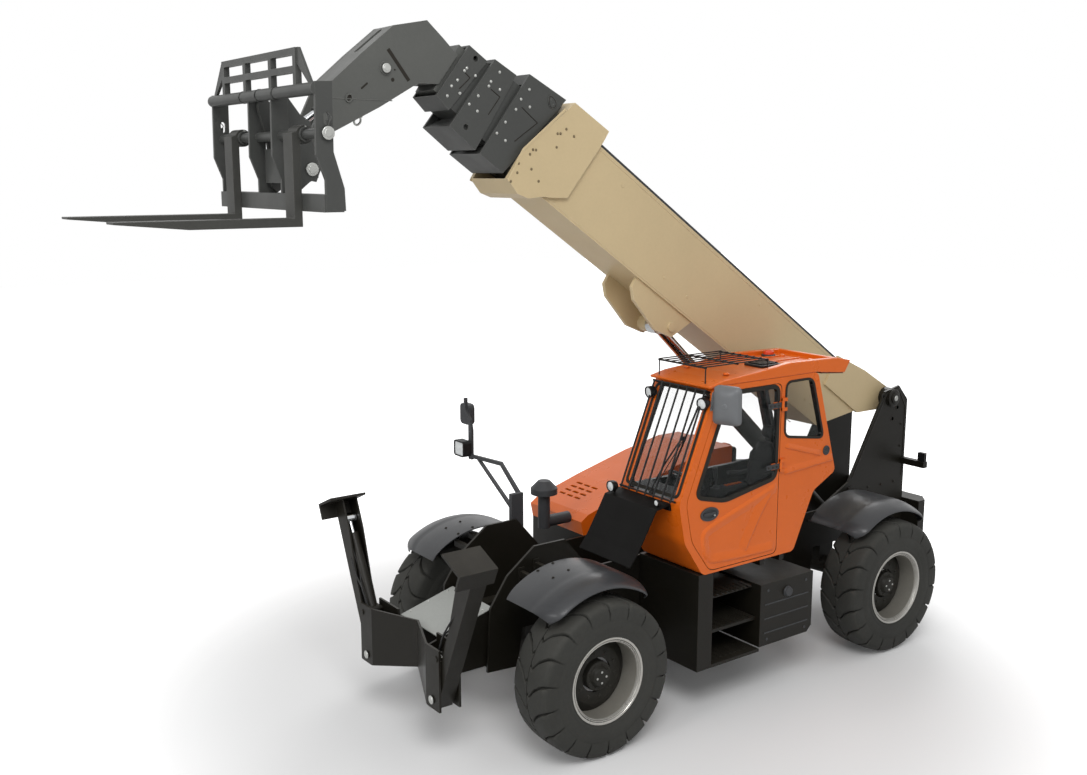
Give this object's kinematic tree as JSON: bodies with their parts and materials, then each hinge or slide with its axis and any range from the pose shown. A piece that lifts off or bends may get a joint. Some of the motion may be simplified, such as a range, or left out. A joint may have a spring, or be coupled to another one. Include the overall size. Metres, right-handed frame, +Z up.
{
  "type": "telehandler",
  "caption": "Fixed-frame telehandler with raised telescopic lift arm, fork carriage, side cab, four steered wheels and front stabiliser legs",
  "frame": {"origin": "middle of the footprint of the whole machine, on the ground under the tyres", "axes": "+X forward along the machine, +Y to the machine's left, +Z up"},
  "size_m": [8.8501, 3, 6.0405],
  "materials": {
    "tyre_rubber": "matte",
    "wheel_silver": "satin",
    "dark_iron": "satin",
    "frame_black": "satin",
    "deck_grey": "matte",
    "rod_chrome": "polished",
    "arm_tan": "satin",
    "arm_grey": "satin",
    "fork_steel": "satin",
    "cab_orange": "satin",
    "window_glass": "polished",
    "seat_black": "matte",
    "trim_black": "matte",
    "guard_black": "matte",
    "lamp_glass": "gloss"
  },
  "bodies": {
    "chassis": {"chassis_frame": "frame_black", "tail_weight": "frame_black", "front_beam": "frame_black", "front_deck": "deck_grey", "axle_front": "dark_iron", "axle_rear": "dark_iron", "cab_frame": "cab_orange", "cab_roof": "cab_orange", "cab_glass": "window_glass", "driver_seat": "seat_black", "dashboard": "trim_black", "steering_wheel": "trim_black", "screen_guard": "guard_black", "fenders": "trim_black", "side_tank": "frame_black", "cab_steps": "frame_black", "front_cowl": "frame_black", "engine_pod": "frame_black", "engine_block": "dark_iron", "hood_hinge": "frame_black", "mirror_left": "trim_black", "mirror_right": "trim_black", "lamps": "lamp_glass"},
    "door": {"cab_door": "cab_orange", "door_glass": "window_glass"},
    "hood": {"engine_hood": "cab_orange", "intake_stack": "trim_black"},
    "boom": {"boom_base": "arm_tan", "boom_hose_guard": "frame_black"},
    "section_2": {"boom_section_2": "arm_grey"},
    "section_3": {"boom_section_3": "arm_grey"},
    "section_4": {"boom_section_4": "arm_grey"},
    "head": {"boom_head": "arm_grey", "tilt_barrel": "arm_grey"},
    "tilt_rod_body": {"tilt_rod": "rod_chrome"},
    "carriage": {"coupler": "arm_grey", "fork_carriage": "arm_grey", "fork_l": "fork_steel", "fork_r": "fork_steel"},
    "lift_rod_body": {"lift_rod": "rod_chrome"},
    "lift_barrel_body": {"lift_barrel": "frame_black"},
    "knuckle_front_l_body": {"knuckle_front_l": "dark_iron"},
    "wheel_front_l": {"tyre_front_l": "tyre_rubber", "rim_front_l": "wheel_silver"},
    "knuckle_front_r_body": {"knuckle_front_r": "dark_iron"},
    "wheel_front_r": {"tyre_front_r": "tyre_rubber", "rim_front_r": "wheel_silver"},
    "knuckle_rear_l_body": {"knuckle_rear_l": "dark_iron"},
    "wheel_rear_l": {"tyre_rear_l": "tyre_rubber", "rim_rear_l": "wheel_silver"},
    "knuckle_rear_r_body": {"knuckle_rear_r": "dark_iron"},
    "wheel_rear_r": {"tyre_rear_r": "tyre_rubber", "rim_rear_r": "wheel_silver"},
    "leg_l": {"stabiliser_leg_l": "frame_black"},
    "leg_barrel_l": {"stabiliser_barrel_l": "frame_black"},
    "leg_rod_l": {"stabiliser_rod_l": "rod_chrome"},
    "leg_r": {"stabiliser_leg_r": "frame_black"},
    "leg_barrel_r": {"stabiliser_barrel_r": "frame_black"},
    "leg_rod_r": {"stabiliser_rod_r": "rod_chrome"}
  },
  "joints": [
    {"name": "steer_front_l", "type": "hinge", "parent": "chassis", "child": "knuckle_front_l_body", "pos_m": [0.825, 0.8, 0.688], "axis": [0, 0, 1], "range_deg": [-32, 32]},
    {"name": "roll_front_l", "type": "hinge", "parent": "knuckle_front_l_body", "child": "wheel_front_l", "pos_m": [0.825, 1.07, 0.688], "axis": [0, 1, 0], "continuous": true},
    {"name": "steer_front_r", "type": "hinge", "parent": "chassis", "child": "knuckle_front_r_body", "pos_m": [0.825, -0.8, 0.688], "axis": [0, 0, 1], "range_deg": [-32, 32]},
    {"name": "roll_front_r", "type": "hinge", "parent": "knuckle_front_r_body", "child": "wheel_front_r", "pos_m": [0.825, -1.07, 0.688], "axis": [0, 1, 0], "continuous": true},
    {"name": "steer_rear_l", "type": "hinge", "parent": "chassis", "child": "knuckle_rear_l_body", "pos_m": [-2.975, 0.8, 0.688], "axis": [0, 0, 1], "range_deg": [-32, 32]},
    {"name": "roll_rear_l", "type": "hinge", "parent": "knuckle_rear_l_body", "child": "wheel_rear_l", "pos_m": [-2.975, 1.07, 0.688], "axis": [0, 1, 0], "continuous": true},
    {"name": "steer_rear_r", "type": "hinge", "parent": "chassis", "child": "knuckle_rear_r_body", "pos_m": [-2.975, -0.8, 0.688], "axis": [0, 0, 1], "range_deg": [-32, 32]},
    {"name": "roll_rear_r", "type": "hinge", "parent": "knuckle_rear_r_body", "child": "wheel_rear_r", "pos_m": [-2.975, -1.07, 0.688], "axis": [0, 1, 0], "continuous": true},
    {"name": "boom_lift", "type": "hinge", "parent": "chassis", "child": "boom", "pos_m": [-3.935, 0, 2.42], "axis": [0, -1, 0], "range_deg": [-35, 36]},
    {"name": "boom_extend", "type": "slide", "parent": "boom", "child": "section_2", "axis": [0.829, 0, 0.5592], "range_m": [0, 2.6]},
    {"name": "boom_extend_3", "type": "slide", "parent": "section_2", "child": "section_3", "axis": [0.829, 0, 0.5592], "range_m": [0, 2.6]},
    {"name": "boom_extend_4", "type": "slide", "parent": "section_3", "child": "section_4", "axis": [0.829, 0, 0.5592], "range_m": [0, 2.6]},
    {"name": "boom_extend_head", "type": "slide", "parent": "section_4", "child": "head", "axis": [0.829, 0, 0.5592], "range_m": [0, 2.6]},
    {"name": "tilt", "type": "hinge", "parent": "head", "child": "carriage", "pos_m": [2.83709, 0, 4.89263], "axis": [0, 1, 0], "range_deg": [-38, 80]},
    {"name": "tilt_rod_slide", "type": "slide", "parent": "head", "child": "tilt_rod_body", "axis": [0.8326, 0, -0.5538], "range_m": [-0.165, 0.346]},
    {"name": "lift_rod_hinge", "type": "hinge", "parent": "boom", "child": "lift_rod_body", "pos_m": [-0.77227, 0, 3.43392], "axis": [0, -1, 0], "range_deg": [-5, 5]},
    {"name": "lift_barrel_slide", "type": "slide", "parent": "lift_rod_body", "child": "lift_barrel_body", "axis": [-0.7387, 0, -0.6741], "range_m": [-0.8328, 0.8565]},
    {"name": "leg_swing_l", "type": "hinge", "parent": "chassis", "child": "leg_l", "pos_m": [2.003, 0.567, 0.609], "axis": [-1, 0, 0], "range_deg": [0, 95]},
    {"name": "leg_barrel_swing_l", "type": "hinge", "parent": "chassis", "child": "leg_barrel_l", "pos_m": [2.003, 0.64, 0.985], "axis": [-1, 0, 0], "range_deg": [-0.2, 105.5]},
    {"name": "leg_rod_slide_l", "type": "slide", "parent": "leg_barrel_l", "child": "leg_rod_l", "axis": [0, 0.4806, 0.8769], "range_m": [-0.002, 0.536]},
    {"name": "leg_swing_r", "type": "hinge", "parent": "chassis", "child": "leg_r", "pos_m": [2.003, -0.567, 0.609], "axis": [1, 0, 0], "range_deg": [0, 95]},
    {"name": "leg_barrel_swing_r", "type": "hinge", "parent": "chassis", "child": "leg_barrel_r", "pos_m": [2.003, -0.64, 0.985], "axis": [1, 0, 0], "range_deg": [-0.2, 105.5]},
    {"name": "leg_rod_slide_r", "type": "slide", "parent": "leg_barrel_r", "child": "leg_rod_r", "axis": [0, -0.4806, 0.8769], "range_m": [-0.002, 0.536]},
    {"name": "door_swing", "type": "hinge", "parent": "chassis", "child": "door", "pos_m": [-1.255, 1.216, 2.5025], "axis": [0, 0, 1], "range_deg": [0, 95]},
    {"name": "hood_lift", "type": "hinge", "parent": "chassis", "child": "hood", "pos_m": [-2.295, -0.77, 1.92], "axis": [0, -1, 0], "range_deg": [0, 50]}
  ],
  "couplings": [
    {"joint": "steer_front_r", "follows": "steer_front_l", "ratio": 1},
    {"joint": "steer_rear_r", "follows": "steer_rear_l", "ratio": 1},
    {"joint": "boom_extend_3", "follows": "boom_extend", "ratio": 1},
    {"joint": "boom_extend_4", "follows": "boom_extend", "ratio": 1},
    {"joint": "boom_extend_head", "follows": "boom_extend", "ratio": 1},
    {"joint": "tilt_rod_slide", "follows": "tilt", "m_per_rad": 0.24575},
    {"joint": "lift_rod_hinge", "follows": "boom_lift", "ratio": -0.11},
    {"joint": "lift_barrel_slide", "follows": "boom_lift", "m_per_rad": 1.36},
    {"joint": "leg_barrel_swing_l", "follows": "leg_swing_l", "ratio": 1.1026},
    {"joint": "leg_rod_slide_l", "follows": "leg_swing_l", "m_per_rad": 0.32147},
    {"joint": "leg_barrel_swing_r", "follows": "leg_swing_r", "ratio": 1.1026},
    {"joint": "leg_rod_slide_r", "follows": "leg_swing_r", "m_per_rad": 0.32147}
  ]
}
